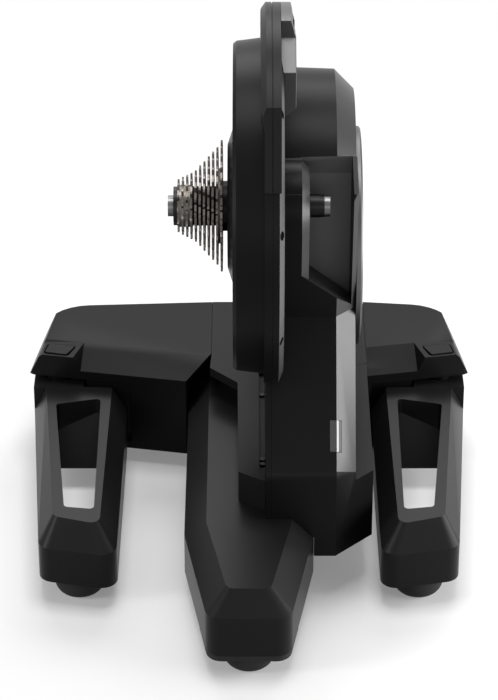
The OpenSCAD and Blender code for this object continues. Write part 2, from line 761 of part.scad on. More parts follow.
module cave() difference() {
    union() {
        along_x(cave_x, bevel_x - 4) polygon([
            [front_y0 + 5, block_foot - 1], [front_y0 + 5, crease_z - 2], [corner_y + 5, corner_z - 2],
            [ahead(boss_r - 4, bulk_up).x, axle_h - 8], [-boss_r + 14, axle_h + 22], [0, axle_h + 31],
            [60, axle_h + 40], [rear_y - 5, corner_z - 5], [rear_y - 5, deck_h + 4], [join_y - 5, deck_h + 4],
            [join_y - 5, block_foot - 1]
        ]);
        disc(cave_x, bevel_x - 2, drum_r - drum_draft - 4, drum_y, drum_z);
        disc(bevel_x - 3, housing_x - 7, drum_r - drum_draft - bevel, drum_y, drum_z);
    }
    recess(3.5);
    translate([0, 0, -1]) linear_extrude(deck_h + 4.5) translate([0, join_y - 5]) square([big, big]);
}

stator_out = 86;
stator_in = 50;
stator_y = fly_y + 12;
stator_t = 14.6;
drum_draft = 2;
module housing() difference() {
    union() {
        difference() {
            union() {
                column_block();
                bulk_block();
                cone(seam_x, bevel_x, drum_r, drum_r - drum_draft, drum_y, drum_z);
                cone(bevel_x, housing_x, drum_r - drum_draft, drum_r - drum_draft - bevel, drum_y, drum_z);
            }
            recess(0);
        }
        boss_block();
        lower_block();
    }
    flange_solid(0);
    cave();
    saddle();
    disc(0, big, axle_r + 1.4);
    disc(housing_x - 8, big, 31, fly_y, fly_z);
    difference() {
        disc(housing_x - stator_t - 1, big, stator_out + 1.5, fly_y, fly_z);
        disc(housing_x - stator_t - 2, big, stator_in - 1.5, fly_y, fly_z);
        translate([0, -big + stator_y - 1.5, 0]) cube([big, big, big]);
    }
    difference() {
        light_slab(fit_gap);
        light_shape(-3.4);
    }
    translate([socket_x, rear_y - 12, socket_z]) rotate([-90, 0, 0]) cylinder(h = 20, r = socket_r);
}

// The housing is built from sections that meet flush round the dropout recess
split_x = boss_x + 1;
split_y = recess_y - 1;
split_z = corner_z + 3;
module low_zone() translate([0, -big, -1]) cube([big, 2 * big, split_z + 1]);
module boss_zone() translate([-1, -big, split_z]) cube([split_x + 1, big + split_y, big]);
module floor_zone() translate([split_x, -big, split_z - 1])
    cube([housing_x - guard_t - 1 - split_x, big + split_y, axle_h - floor_drop - split_z + 1]);
module flywheel_side_cover() color(black) intersection() {
    housing();
    union() {
        low_zone();
        floor_zone();
    }
}
module boss_cover() color(black) intersection() {
    housing();
    boss_zone();
}
module drum_cover() color(black) difference() {
    housing();
    low_zone();
    floor_zone();
    boss_zone();
}

// Round plate between the two halves of the housing, with the right half of the flange
module seam_plate() color(black) difference() {
    flange_solid(seam_x);
    cave();
    screw_holes(0, big, 2.2);
    screw_holes(screw_head_x, big, 3.9);
    disc(0, big, axle_r + 1.4);
    disc(0, cave_x + 1, shaft_r + 2, fly_y, fly_z);
}

// Grip on the right of the handle, stepped down at the front
grip_drop = 15.7;
slope_ahead = 32;
slope_drop = 34;
grip_low = 75;
grip_bevel = 4;
grip_band = 12;
foot_slant = 38;
module handle_grip() color(black) difference() {
    intersection() {
        along_x(handle_right, grip_x) polygon([
            [-grip_ahead, handle_top + 1], [-grip_ahead, handle_top - grip_drop],
            [-slope_ahead, handle_top - slope_drop], [-slope_ahead, handle_top - grip_low - 20],
            [-slope_ahead + 14, handle_top - grip_low - 20], ahead(flange_r - grip_band, gap_from),
            ahead(flange_r - grip_band, (gap_from + gap_to) / 2), ahead(flange_r - grip_band, handle_to),
            ahead(handle_r * 1.3, handle_to)
        ]);
        union() {
            disc(handle_right, grip_x - grip_bevel, handle_r);
            cone(grip_x - grip_bevel, grip_x, handle_r, handle_r - grip_drop);
        }
    }
    translate([flange_end, 0, handle_top - grip_low]) rotate([0, -foot_slant, 0]) translate([-big, -big, -big])
        cube([2 * big, 2 * big, big]);
    finger_hole();
    flange_solid(0);
}

// Window of the status light, round the edge between the front and the bevel
module status_light() color([0.55, 0.55, 0.56]) difference() {
    intersection() {
        light_slab(0);
        light_shape(0.4);
    }
    light_shape(-3);
}

// Frame inside the housing, which carries the axle and the flywheel shaft
frame_x = cave_x + 3;
frame_t = 14;
tube_r = 22;
bearing_r = 17;
tube_end = 84;
board_x = frame_x + frame_t + 7;
board_y = [0, 84];
board_z = [126, 190];
frame_bolt_xs = [frame_x + frame_t / 2];
frame_bolt_ys = [-60, 60];
frame_hole_r = 20;
frame_holes = [[-36, 122], [18, 118], [62, 152], [24, 166], [-6, 214]];
module main_frame() color([0.5, 0.5, 0.52]) difference() {
    union() {
        along_x(frame_x, frame_x + frame_t) polygon([
            [-86, leg_top], [join_y - 8, leg_top], [join_y - 8, deck_h + 8], [fly_y + 34, fly_z], [fly_y + 20, fly_z + 40],
            [30, axle_h + 24], [-16, axle_h + 22], [-30, axle_h - 4], [corner_y + 10, corner_z - 6],
            [-86, crease_z - 2]
        ]);
        disc(frame_x, tube_end, tube_r, fly_y, fly_z);
        for (y = board_y) for (z = board_z) disc(frame_x, board_x, 3.5, y, z);
    }
    for (h = frame_holes) disc(0, big, frame_hole_r, h.x, h.y);
    disc(0, big, axle_r);
    disc(0, big, bearing_r, fly_y, fly_z);
    for (y = frame_bolt_ys) translate([frame_bolt_xs[0], y, 0]) cylinder(h = leg_top + 15, r = 4.1);
}

module control_board() color("darkgreen") {
    translate([board_x, board_y[0] - 6, board_z[0] - 6])
        cube([1.6, board_y[1] - board_y[0] + 12, board_z[1] - board_z[0] + 12]);
    translate([board_x + 1.6, 10, 140]) cube([3, 22, 22]);
    translate([board_x + 1.6, 50, 150]) cube([9, 12, 24]);
}

// Socket for the power lead, low on the back of the housing
socket_x = 60;
socket_z = 150;
socket_r = 7;
jack_r = 2.8;
jack_len = 11;
module power_socket() color(dark) translate([socket_x, rear_y, socket_z]) rotate([90, 0, 0]) difference() {
    union() {
        cylinder(h = 14, r = socket_r);
        translate([0, 0, -1.5]) cylinder(h = 1.5, r = socket_r + 2.5);
    }
    translate([0, 0, jack_len - 20]) cylinder(h = 20, r = jack_r);
}

// Hollow axle, its end caps and its bearings
half_w = hub_w / 2;
module hollow_axle() color(steel) difference() {
    union() {
        disc(-half_w + cap_len, half_w - cap_len, axle_r);
        disc(-half_w, half_w, axle_end_r);
    }
    disc(-half_w - 1, half_w + 1, bore_r);
}
module left_end_cap() color(steel) ring(-half_w, -half_w + cap_len, left_cap_r, axle_end_r);
module right_end_cap() color(steel) ring(half_w - cap_len, half_w, right_cap_r, axle_end_r);
collar_step = 4;
module axle_collar() color(dark) difference() {
    union() {
        disc(frame_x + frame_t, half_w - cap_len - collar_step, axle_r + 1.2);
        disc(boss_x, half_w - cap_len - collar_step, right_cap_r + 0.8);
        disc(boss_x, half_w - cap_len, right_cap_r + 0.4);
    }
    disc(0, big, axle_r);
}
hub_left = -8;
hub_right = 18;
hub_r = 24;
module hub_bearings() color(steel) {
    ring(hub_left + 1, hub_left + 9, bearing_r, axle_r);
    ring(hub_right - 9, hub_right - 1, bearing_r, axle_r);
    ring(hub_right - 1, frame_x, axle_r + 1.2, axle_r);
}
freehub_bore = 12;
module freehub_bearings() color(steel) {
    ring(-58, -50, freehub_bore, axle_r);
    ring(-30, -22, freehub_bore, axle_r);
    ring(-22, hub_left + 1, axle_r + 1.5, axle_r);
}
module flywheel_bearings() color(steel) {
    for (x = [frame_x + 1, tube_end - 11])
        ring(x, x + 10, bearing_r, shaft_r + run_gap, fly_y, fly_z);
}

// Belt drive: the belt stands still, the pulleys turn inside it with a small gap
belt_x = -3;
centres = sqrt(fly_y * fly_y + fly_drop * fly_drop);
drop_angle = atan2(fly_drop, fly_y);
spread = asin((big_pulley_r - small_pulley_r) / centres);
// Outline of the belt's path at distance g outside the pulleys, in the plane of the two centres
function belt_path(g) = concat(
    [for (i = [0 : 48]) let (a = 90 - spread + (180 + 2 * spread) * i / 48)
        (big_pulley_r + g) * [cos(a), sin(a)]],
    [for (i = [0 : 16]) let (a = -90 + spread + (180 - 2 * spread) * i / 16)
        [centres, 0] + (small_pulley_r + g) * [cos(a), sin(a)]]
);
module drive_belt() color(dark) translate([0, 0, axle_h]) rotate([-drop_angle, 0, 0])
    along_x(belt_x, belt_x + belt_w) difference() {
        polygon(belt_path(soft_gap + belt_t));
        polygon(belt_path(soft_gap));
    }
module drive_pulley() color(steel) difference() {
    union() {
        disc(hub_left, hub_right, hub_r);
        disc(belt_x + 3, belt_x + belt_w - 3, big_pulley_r - 4);
        ring(belt_x - 1, belt_x + belt_w + 1, big_pulley_r, big_pulley_r - 8);
    }
    disc(-big, big, bearing_r + run_gap);
    for (i = [0 : 5]) let (p = ahead(58, i * 60)) disc(-20, 30, 22, p.x, p.y);
}
module ratchet_ring() color(steel) difference() {
    disc(hub_left - 7, hub_left, 26);
    along_x(-big / 2, big / 2) polygon([
        for (i = [0 : 47]) ahead(i % 2 == 0 ? 20.6 : 22.4, i * 7.5)
    ]);
}
module small_pulley() color(steel) ring(belt_x - 1, belt_x + belt_w + 1, small_pulley_r, shaft_r, fly_y, fly_z);

// Idler behind the slack run of the belt
idler_out = big_pulley_r + 2 * soft_gap + belt_t + idler_r;
idler_along = 0.5;
idler_at = [
    idler_out * cos(90 - spread) + idler_along * centres * cos(spread) * sin(90 - spread),
    idler_out * sin(90 - spread) - idler_along * centres * cos(spread) * cos(90 - spread)
];
idler_y = idler_at.x * cos(drop_angle) + idler_at.y * sin(drop_angle);
idler_z = axle_h - idler_at.x * sin(drop_angle) + idler_at.y * cos(drop_angle);
idler_pin_r = 4;
module idler_pulley() color(dark) ring(belt_x, belt_x + belt_w, idler_r, idler_pin_r + run_gap, idler_y, idler_z);
module idler_arm() color(steel) {
    disc(belt_x + belt_w + 1, seam_x, 9, idler_y, idler_z);
    disc(belt_x - 1, belt_x + belt_w + 1, idler_pin_r, idler_y, idler_z);
}

// Freehub, cogs and lockring
first_cog = -61.6;
teeth = [11, 12, 13, 14, 15, 17, 19, 21, 23, 25, 28];
cog_end = first_cog + 10 * cog_pitch;
chain_pitch = 12.7;
lock_x = first_cog - cog_t / 2;
module freehub_body() color(dark) difference() {
    union() {
        disc(lock_x, cog_end + cog_t / 2, freehub_r);
        disc(lock_x, hub_left - 1, freehub_bore + 2.5);
    }
    disc(-big, big, freehub_bore + run_gap);
}
module pawls() color(steel) for (i = [0 : 2]) translate([hub_left - 6, 0, axle_h]) rotate([i * 120, 0, 0])
    translate([0, -3, freehub_bore + 2.55]) cube([5, 6, 5]);

// Flat cog with n teeth
module cog(n) {
    pitch_r = chain_pitch / (2 * sin(180 / n));
    root_r = pitch_r - 3.6;
    tip_r = pitch_r + 0.9;
    step = 360 / n;
    rotate([90, 0, 90]) translate([0, 0, -cog_t / 2]) linear_extrude(cog_t) difference() {
        polygon([
            for (i = [0 : n - 1]) for (k = [[root_r, -0.26], [tip_r, -0.08], [tip_r, 0.08], [root_r, 0.26]])
                k[0] * [cos(step * (i + k[1])), sin(step * (i + k[1]))]
        ]);
        circle(freehub_r);
    }
}
module cogs(from, to) for (i = [from : to]) translate([first_cog + i * cog_pitch, 0, axle_h]) cog(teeth[i]);
module gaps(from, to, r) for (i = [from : to])
    ring(first_cog + i * cog_pitch + cog_t / 2, first_cog + (i + 1) * cog_pitch - cog_t / 2, r, freehub_r);
module small_cogs() color(steel) {
    cogs(0, 3);
    gaps(0, 2, freehub_r + 3);
}
module middle_cogs() color(steel) cogs(4, 7);
module large_cogs() color(steel) {
    cogs(8, 10);
    gaps(9, 9, 33);
}
module cog_spacers() color(dark) gaps(3, 8, freehub_r + 1.8);
module lockring() color(dark) ring(-half_w + cap_len, lock_x, lockring_r, left_cap_r + fit_gap);
module hub_collar() color(dark) ring(cog_end + cog_t / 2, hub_left - 8, collar_r, freehub_bore + 2.5);

// Flywheel, its shaft and the brake behind it
flywheel_x = housing_x + 0.5;
module flywheel() color("silver") difference() {
    union() {
        disc(flywheel_x, flywheel_x + flywheel_t - 1.5, flywheel_r, fly_y, fly_z);
        cone(flywheel_x + flywheel_t - 1.5, flywheel_x + flywheel_t, flywheel_r, flywheel_r - 1.5, fly_y, fly_z);
        disc(tube_end + 1, flywheel_x, 28, fly_y, fly_z);
    }
    disc(0, big, shaft_r, fly_y, fly_z);
    disc(flywheel_x + flywheel_t - 3, big, 14, fly_y, fly_z);
}
module flywheel_shaft() color(steel) disc(belt_x - 3, flywheel_x + flywheel_t - 0.5, shaft_r, fly_y, fly_z);
module flywheel_nut() color(dark) difference() {
    translate([flywheel_x + flywheel_t - 3, fly_y, fly_z]) rotate([0, 90, 0]) cylinder(h = 2.8, r = 12.5, $fn = 6);
    disc(0, big, shaft_r, fly_y, fly_z);
}
module brake_stator() color([0.55, 0.35, 0.2]) difference() {
    disc(housing_x - stator_t, housing_x - 0.4, stator_out, fly_y, fly_z);
    disc(0, big, stator_in, fly_y, fly_z);
    translate([0, -big + stator_y, 0]) cube([big, big, big]);
}

// Fasteners
module deck_screws() color(steel) for (y = deck_screw_ys) translate([deck_screw_x, y, 0]) {
    translate([0, 0, leg_top + 1]) cylinder(h = ledge_h - leg_top - 1, r = 1.5);
    translate([0, 0, ledge_h]) cylinder(h = 1.6, r = 2.4);
}
module base_screws() color(steel) for (x = screw_xs) translate([x, beam_y + beam_d / 2, 0]) {
    translate([0, 0, pan_low - 2]) cylinder(h = 2, r = 4.5);
    translate([0, 0, pan_low]) cylinder(h = pan_t + 3, r = 1.9);
}
module frame_bolts() color(steel) for (y = frame_bolt_ys) translate([frame_bolt_xs[0], y, 0])
    translate([0, 0, leg_low + 31]) cylinder(h = leg_top + 14 - leg_low - 31, r = 4);

centre_leg();
deck_cover();
left_wing_cover();
right_wing_cover();
crossbar_pan();
cross_beam();
hinge_brackets();
hinge_pins();
front_foot();
rear_feet();
base_screws();
drive_side_cover();
seam_plate();
flywheel_side_cover();
boss_cover();
drum_cover();
handle_arch();
housing_screws();
handle_grip();
status_light();
main_frame();
hollow_axle();
left_end_cap();
right_end_cap();
axle_collar();
hub_bearings();
freehub_bearings();
flywheel_bearings();
drive_belt();
idler_arm();
brake_stator();
control_board();
power_socket();
deck_screws();
frame_bolts();
drive_pulley();
ratchet_ring();
freehub_body();
pawls();
small_cogs();
middle_cogs();
large_cogs();
cog_spacers();
lockring();
hub_collar();
flywheel();
flywheel_shaft();
small_pulley();
flywheel_nut();
idler_pulley();
left_leg();
left_leg_foot();
left_leg_bush();
right_leg();
right_leg_foot();
right_leg_bush();
left_button();
right_button();
left_button_spring();
right_button_spring();
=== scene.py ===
import itertools
import json
import math

import bmesh
import bpy
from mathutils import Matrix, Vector

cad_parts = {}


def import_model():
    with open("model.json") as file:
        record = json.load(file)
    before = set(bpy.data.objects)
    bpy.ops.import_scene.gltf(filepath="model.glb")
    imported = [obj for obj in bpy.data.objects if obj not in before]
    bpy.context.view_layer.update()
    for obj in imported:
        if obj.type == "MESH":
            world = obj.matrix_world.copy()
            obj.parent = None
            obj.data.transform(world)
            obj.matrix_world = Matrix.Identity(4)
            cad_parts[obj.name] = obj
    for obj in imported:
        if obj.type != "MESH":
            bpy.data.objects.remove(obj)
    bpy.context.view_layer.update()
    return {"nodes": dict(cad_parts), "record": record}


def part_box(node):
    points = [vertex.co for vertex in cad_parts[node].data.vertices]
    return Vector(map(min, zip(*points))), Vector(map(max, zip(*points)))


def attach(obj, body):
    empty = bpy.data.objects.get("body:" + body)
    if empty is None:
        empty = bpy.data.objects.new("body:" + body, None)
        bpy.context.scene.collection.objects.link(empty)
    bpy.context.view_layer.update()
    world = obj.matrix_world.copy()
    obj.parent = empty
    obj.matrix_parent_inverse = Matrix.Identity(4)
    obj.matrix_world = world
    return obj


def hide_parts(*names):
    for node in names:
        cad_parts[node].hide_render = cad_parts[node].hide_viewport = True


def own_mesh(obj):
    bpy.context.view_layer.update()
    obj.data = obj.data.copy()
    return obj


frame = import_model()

# Sizes are in metres. The origin is on the floor under the axle, -Y is the front and +X the flywheel side.
RECORD = frame["record"]


def named(rows, name):
    """The row with a name in one of the record's lists."""
    return next(row for row in rows if row["name"] == name)


def opening(name):
    """The lowest and highest corner of one of the record's openings."""
    return [Vector(corner) for corner in named(RECORD["physics"]["openings"], name)["box_m"]]


AXLE = Vector(named(RECORD["mounts"], "thru-axle")["pos_m"])
FLYWHEEL = Vector(named(RECORD["behaviour"]["joints"], "flywheel_spin")["pos_m"])

# The camera, fitted to the photograph
CAMERA_AT = Vector((0, -2.2286, 1.5331))
CAMERA_AIM = Vector((0, 0, 0.194))
LENS_MM = 148.2
SENSOR_MM = 36
FAR_CLIP = 50

# The width of a ring on turned metal, and how lines on drawn metal stretch along X
RING = 0.0006
ALONG_X = (0.08, 1, 1)

# The bright bar inside the status light: from the window's left edge to its middle, and half its width
BAR_IN = 0.0069
BAR_HALF = 0.0009

# Edges that turn by more than SHARP are rounded in EDGE_STEPS. Before that, points closer than WELD become
# one, slivers narrower than SLIVER go, and faces that lie within FLAT of each other are joined.
SHARP = math.radians(28)
EDGE_STEPS = 2
WELD = 0.00002
SLIVER = 0.00001
FLAT = math.radians(1)

# The sliver behind the seam between the left wing and the deck: its size, and the step from the wing's
# highest corner to its own
SEAM_SIZE = Vector((0.0024, 0.0038, 0.0113))
SEAM_STEP = Vector((0.0010, -0.0002, -0.0007))

# The dropout recess is two openings, one above the other. The faces of its back wall lie within WALL_DEPTH of
# the lower one's back.
RECESS_LOW, RECESS_BACK = opening("dropout_recess_low")
RECESS_TOP = opening("dropout_recess_high")[1]
WALL_DEPTH = 0.012
# The height of the crease where the housing's strip starts
CREASE_Z = 0.128

# Limits for a face's normal: X of the right chamfers, Y of the recess's back wall, Z of its ledges
LEANS_RIGHT = 0.35
FLAT_RIGHT = 0.98
FACES_FRONT = -0.5
FACES_UP = 0.3

# The floor's two pale levels, its glow where it is seen, and the level at which it lights the object
FLOOR_PALE = (0.61, 0.63)
FLOOR_GLOW = 0.20
FLOOR_BOUNCE = 0.20
# The floor fades to white between two radii, and reaches FLOOR_HALF to each side.
FADE_FROM = 0.4
FADE_TO = 1.3
FLOOR_HALF = 9.0
# The world's strength as the object's fill light
FILL = 0.18


def operators(operation):
    """An operator on values and its reflected form. Each adds one Math node."""

    def plain(self, other):
        return self.maths(operation, self, other)

    def reflected(self, other):
        return self.maths(operation, other, self)

    return plain, reflected


class Value:
    """A socket of a node, with maths written as operators."""

    def __init__(self, paint, socket):
        self.paint = paint
        self.socket = socket

    def maths(self, operation, *terms):
        return self.paint.node("ShaderNodeMath", {"operation": operation}, dict(enumerate(terms)))

    __add__, __radd__ = operators("ADD")
    __sub__, __rsub__ = operators("SUBTRACT")
    __mul__, __rmul__ = operators("MULTIPLY")
    __truediv__, __rtruediv__ = operators("DIVIDE")
    __pow__, __rpow__ = operators("POWER")


class Paint:
    """The nodes of a material, or of the world, under construction."""

    def __init__(self, name, library=bpy.data.materials, output="ShaderNodeOutputMaterial"):
        self.painted = library.new(name)
        self.painted.use_nodes = True
        self.tree = self.painted.node_tree
        self.tree.nodes.clear()
        self.end = self.tree.nodes.new(output)

    def node(self, kind, settings=None, sockets=None, out=0):
        """Adds a node, sets its settings, then its sockets by name or number, and returns one output."""
        made = self.tree.nodes.new(kind)
        for name, value in (settings or {}).items():
            setattr(made, name, value)
        for name, value in (sockets or {}).items():
            if isinstance(value, Value):
                self.tree.links.new(value.socket, made.inputs[name])
            else:
                made.inputs[name].default_value = value
        return Value(self, made.outputs[out])

    def outputs(self, value, names):
        """Other outputs of the node that a value comes from."""
        return [Value(self, value.socket.node.outputs[name]) for name in names]

    def place(self):
        """The point on the object, in metres."""
        return self.node("ShaderNodeTexCoord", out="Object")

    def axes(self, names):
        """The point's distances along the named axes."""
        split = self.node("ShaderNodeSeparateXYZ", {}, {0: self.place()})
        return self.outputs(split, names)

    def noise(self, size, detail, place=None):
        """Noise from 0 to 1 with features of the given size in metres."""
        sockets = {"Vector": place or self.place(), "Scale": 1 / size, "Detail": detail}
        return self.node("ShaderNodeTexNoise", {}, sockets)

    def between(self, amount, first, second):
        """A colour between two colours, which are sockets 6 and 7 of a Mix node."""
        sockets = {0: amount, 6: first, 7: second}
        return self.node("ShaderNodeMix", {"data_type": "RGBA"}, sockets, out=2)

    def bump(self, height, distance, strength):
        sockets = {"Height": height, "Distance": distance, "Strength": strength}
        return self.node("ShaderNodeBump", {}, sockets)

    def surface(self, **sockets):
        """The Principled shader, wired to the output."""
        inputs = {name.replace("_", " "): value for name, value in sockets.items()}
        return self.output(self.node("ShaderNodeBsdfPrincipled", {}, inputs))

    def shown(self):
        """At least 1 for what the camera sees directly, in a reflection or through glass, and 0 otherwise."""
        camera_ray = self.node("ShaderNodeLightPath", out="Is Camera Ray")
        glossy_ray, clear_ray = self.outputs(camera_ray, ("Is Glossy Ray", "Is Transmission Ray"))
        return camera_ray + glossy_ray + clear_ray

    def mixed(self, amount, first, second):
        """A shader between two shaders."""
        return self.node("ShaderNodeMixShader", {}, {0: amount, 1: first, 2: second})

    def output(self, shader):
        """Wires the last shader and returns the finished material or world."""
        self.tree.links.new(shader.socket, self.end.inputs["Surface"])
        return self.painted


def grey(level, warmth=0.0):
    """A linear grey with alpha, a little warm or cold."""
    return (level * (1 + warmth), level, level * (1 - warmth), 1)


# Materials


def moulded(name, level, rough, gloss=0.06):
    """Black moulded plastic: fine even grain, slow changes of shade and gloss."""
    paint = Paint(name)
    cloud = paint.noise(size=0.055, detail=3)
    fine = paint.noise(size=0.00045, detail=1)
    return paint.surface(
        Base_Color=paint.between(cloud, grey(level * 0.9), grey(level * 1.12)),
        Roughness=(rough - 0.05) + cloud * 0.07 + fine * 0.03,
        Specular_IOR_Level=gloss,
        Normal=paint.bump(fine, distance=0.00002, strength=0.6),
    )


def powder_coat(name, level, rough, gloss=0.12):
    """Powder coat on cast metal: a faint orange peel under fine grain."""
    paint = Paint(name)
    cloud = paint.noise(size=0.08, detail=2)
    peel = paint.noise(size=0.0016, detail=1)
    fine = paint.noise(size=0.0004, detail=1)
    return paint.surface(
        Base_Color=paint.between(cloud, grey(level * 0.92), grey(level * 1.1)),
        Roughness=(rough - 0.04) + cloud * 0.05 + fine * 0.04,
        Specular_IOR_Level=gloss,
        Normal=paint.bump(peel * 0.7 + fine * 0.3, distance=0.00004, strength=0.5),
    )


def rubber(name):
    """Black rubber with specks and a little dust."""
    paint = Paint(name)
    specks = paint.noise(size=0.0006, detail=2)
    dust = paint.noise(size=0.02, detail=3)
    return paint.surface(
        Base_Color=paint.between(dust, grey(0.012), grey(0.024, 0.02)),
        Roughness=0.72 + specks * 0.15,
        Specular_IOR_Level=0.3,
        Normal=paint.bump(specks, distance=0.00006, strength=0.6),
    )


def turned(name, centre, dark, light, rough, warmth=0.0):
    """Metal turned or ground in rings about a line along X."""
    paint = Paint(name)
    y, z = paint.axes("YZ")
    back = y - centre.y
    up = z - centre.z
    radius = (back * back + up * up) ** 0.5
    ring_sockets = {"W": radius / RING, "Scale": 1.0, "Detail": 3.0}
    rings = paint.node("ShaderNodeTexNoise", {"noise_dimensions": "1D"}, ring_sockets)
    cloud = paint.noise(size=0.02, detail=3)
    amount = rings * 0.6 + cloud * 0.4
    return paint.surface(
        Base_Color=paint.between(amount, grey(dark, warmth), grey(light, warmth)),
        Metallic=1.0,
        Roughness=(rough - 0.06) + rings * 0.12,
        Normal=paint.bump(rings, distance=0.00002, strength=0.5),
    )


def bare_metal(name, dark, light, rough, warmth=0.0):
    """Plain metal with fine drawn lines along X and a few clouds."""
    paint = Paint(name)
    stretched = paint.node("ShaderNodeMapping", {}, {"Vector": paint.place(), "Scale": ALONG_X})
    lines = paint.noise(size=0.0005, detail=2, place=stretched)
    cloud = paint.noise(size=0.012, detail=3)
    amount = lines * 0.5 + cloud * 0.5
    return paint.surface(
        Base_Color=paint.between(amount, grey(dark, warmth), grey(light, warmth)),
        Metallic=1.0,
        Roughness=(rough - 0.05) + lines * 0.1,
        Normal=paint.bump(lines, distance=0.00002, strength=0.4),
    )


def status_lens(name):
    """Smoked plastic with a frosted look and a bright bar."""
    paint = Paint(name)
    frost = paint.noise(size=0.0008, detail=1)
    (x,) = paint.axes("X")
    bar_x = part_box("status_light")[0].x + BAR_IN
    bar = x.maths("COMPARE", x, bar_x, BAR_HALF)
    smoke = paint.between(frost, grey(0.05), grey(0.08))
    return paint.surface(
        Base_Color=paint.between(bar, smoke, grey(0.55)),
        Roughness=0.38 + frost * 0.1,
        Specular_IOR_Level=0.2,
    )


def circuit_board(name):
    """Green board with darker and lighter patches."""
    paint = Paint(name)
    tracks = paint.noise(size=0.003, detail=0)
    return paint.surface(
        Base_Color=paint.between(tracks, (0.005, 0.05, 0.02, 1), (0.01, 0.11, 0.04, 1)),
        Roughness=0.35 + tracks * 0.1,
    )


shell_black = moulded("shell_black", level=0.006, rough=0.36, gloss=0.07)
handle_black = moulded("handle_black", level=0.014, rough=0.34)
grip_black = moulded("grip_black", level=0.016, rough=0.34, gloss=0.5)
# A lighter, glossier copy of the shell black, put on faces that lean towards the right lamp: a painted
# highlight.
painted_highlight_black = moulded("painted_highlight_black", level=0.014, rough=0.38, gloss=0.42)
deck_black = moulded("deck_black", level=0.010, rough=0.38, gloss=0.065)
# Light grey on the inside walls and ledges of the black housing's recess: painted light, where the real
# recess is lit by the lamps.
recess_painted_light = moulded("recess_painted_light", level=0.30, rough=0.5)
black_metal = bare_metal("black_metal", dark=0.010, light=0.022, rough=0.38)
cap_metal = bare_metal("cap_metal", dark=0.08, light=0.15, rough=0.34)

FINISH_OF_SLOT = {
    "black_shell": shell_black,
    "leg_black": powder_coat("leg_coat", level=0.010, rough=0.34, gloss=0.095),
    "dark_plastic": moulded("dark_plastic", level=0.010, rough=0.5),
    "rubber": rubber("black_rubber"),
    "black_metal": black_metal,
    "bare_steel": bare_metal("bare_steel", dark=0.30, light=0.46, rough=0.3),
    "cog_steel": turned("cog_steel", AXLE, dark=0.015, light=0.17, rough=0.38, warmth=0.1),
    "cast_alloy": powder_coat("cast_metal", level=0.30, rough=0.6),
    "flywheel_metal": turned("wheel_metal", FLYWHEEL, dark=0.07, light=0.13, rough=0.42),
    "bronze": bare_metal("bronze", dark=0.35, light=0.5, rough=0.35, warmth=0.3),
    "board_green": circuit_board("board_green"),
    "winding": bare_metal("winding", dark=0.12, light=0.25, rough=0.4, warmth=0.4),
    "lens": status_lens("status_lens"),
}
FINISH_OF_NODE = {
    "left_end_cap": cap_metal,
    "right_end_cap": cap_metal,
    "hollow_axle": cap_metal,
    "handle_arch": handle_black,
    "handle_grip": grip_black,
    "deck_cover": deck_black,
    "deck_screws": black_metal,
    "hinge_pins": black_metal,
    "hinge_brackets": black_metal,
    "housing_screws": black_metal,
}
SLOT_OF_NODE = {part["node"]: part["material_slot"] for part in RECORD["subparts"]}
BODY_OF_NODE = {node: body for body, nodes in RECORD["behaviour"]["bodies"].items() for node in nodes}


def finish_of(node):
    return FINISH_OF_NODE.get(node, FINISH_OF_SLOT[SLOT_OF_NODE[node]])


for node, thing in frame["nodes"].items():
    thing.data.materials.clear()
    thing.data.materials.append(finish_of(node))


# Pieces


def placed(name, data):
    """An object in the scene."""
    thing = bpy.data.objects.new(name, data)
    bpy.context.scene.collection.objects.link(thing)
    return thing


def on_body(piece, node):
    """Rides a finished piece on the body of a CAD node, with that node's finish."""
    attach(piece, BODY_OF_NODE[node])
    if not piece.data.materials:
        piece.data.materials.append(finish_of(node))


def united(nodes):
    """One mesh of CAD nodes that meet flush."""
    whole, *others = [placed(node + "_copy", frame["nodes"][node].data.copy()) for node in nodes]
    for other in others:
        join = whole.modifiers.new("join", "BOOLEAN")
        join.operation = "UNION"
        join.solver = "EXACT"
        join.object = other
    bpy.context.view_layer.update()
    seen = bpy.context.evaluated_depsgraph_get()
    mesh = bpy.data.meshes.new_from_object(whole.evaluated_get(seen))
    for thing in (whole, *others):
        bpy.data.objects.remove(thing)
    return mesh


def rounded_edges(nodes, width):
    """The shape of some CAD nodes with its sharp edges rounded, which stands for them."""
    mesh = united(nodes)
    for layer in ("custom_normal", "sharp_edge", "sharp_face"):
        if layer in mesh.attributes:
            mesh.attributes.remove(mesh.attributes[layer])
    work = bmesh.new()
    work.from_mesh(mesh)
    bmesh.ops.remove_doubles(work, verts=work.verts, dist=WELD)
    bmesh.ops.dissolve_degenerate(work, dist=SLIVER, edges=work.edges)
    bmesh.ops.dissolve_limit(work, angle_limit=FLAT, verts=work.verts, edges=work.edges)
    work.to_mesh(mesh)
    work.free()
    mesh.shade_smooth()
    mesh.set_sharp_from_angle(angle=SHARP)
    piece = placed(nodes[0] + "_rounded", mesh)
    bevel = piece.modifiers.new("round", "BEVEL")
    bevel.width = width
    bevel.segments = EDGE_STEPS
    bevel.limit_method = "ANGLE"
    bevel.angle_limit = SHARP
    bevel.harden_normals = True
    bevel.use_clamp_overlap = True
    on_body(piece, nodes[0])
    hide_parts(*nodes)
    return piece


def seam_filler():
    """A sliver behind the seam between the left wing and the deck, so that no light comes through."""
    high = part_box("left_wing_cover")[1] + SEAM_STEP
    low = high - SEAM_SIZE
    corners = list(itertools.product(*zip(low, high)))
    sides = [(0, 1, 3, 2), (4, 6, 7, 5), (0, 4, 5, 1), (2, 3, 7, 6), (0, 2, 6, 4), (1, 5, 7, 3)]
    mesh = bpy.data.meshes.new("seam_filler")
    mesh.from_pydata(corners, [], sides)
    on_body(placed("seam_filler", mesh), "deck_cover")


